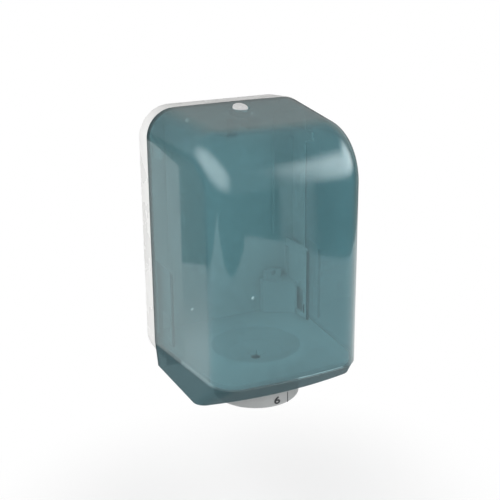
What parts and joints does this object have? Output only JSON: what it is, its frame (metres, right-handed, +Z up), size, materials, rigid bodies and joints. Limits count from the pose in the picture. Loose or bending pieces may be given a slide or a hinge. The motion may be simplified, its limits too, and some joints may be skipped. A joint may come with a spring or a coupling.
{
  "type": "centrefeed roll dispenser",
  "caption": "Wall-mounted dispenser with a hinged, tinted see-through cover, a lock in its top and a round outlet nozzle below a dished roll shelf.",
  "frame": {"origin": "on the wall plane, on the centre line of the back plate, midway up the cover's body", "axes": "+Z up, +Y into the wall, so the front of the dispenser looks along -Y, and +X to the right as seen from the front"},
  "size_m": [0.2252, 0.2145, 0.3733],
  "materials": {
    "white_plastic": "moulded satin-gloss white plastic",
    "tinted_plastic": "clear moulded plastic with a smoky teal tint, polished",
    "shelf_plastic": "fine matt moulded plastic",
    "grey_plastic": "pale grey matt moulded plastic",
    "tear_plastic": "dark grey matt moulded plastic",
    "lock_metal": "satin nickel plating",
    "steel": "zinc-plated steel"
  },
  "bodies": {
    "base": {"back_plate": "white_plastic", "roll_shelf": "shelf_plastic", "right_side_guide": "shelf_plastic", "left_side_guide": "shelf_plastic", "guide_block": "shelf_plastic", "outlet_bowl": "grey_plastic", "nozzle_retaining_ring": "steel", "latch_keeper": "steel", "hinge_pin_right": "steel", "hinge_pin_left": "steel", "shelf_screws": "steel", "keeper_screws": "steel", "block_screw": "steel"},
    "cover": {"cover": "tinted_plastic", "lock_housing": "lock_metal", "lock_nut": "steel"},
    "lock": {"lock_barrel": "lock_metal", "lock_cam": "steel", "cam_screw": "steel"},
    "nozzle": {"nozzle_collar": "grey_plastic", "tear_ring": "tear_plastic"}
  },
  "joints": [
    {"name": "cover_hinge", "type": "hinge", "parent": "base", "child": "cover", "pos_m": [0, -0.018, -0.163], "axis": [1, 0, 0], "range_deg": [0, 90]},
    {"name": "lock_turn", "type": "hinge", "parent": "cover", "child": "lock", "pos_m": [0, -0.066, 0.16562], "axis": [0, 0.3746, -0.9272], "range_deg": [0, 90]},
    {"name": "nozzle_turn", "type": "hinge", "parent": "base", "child": "nozzle", "pos_m": [0, -0.104, -0.175], "axis": [0, 0, 1], "range_deg": [0, 60]}
  ]
}
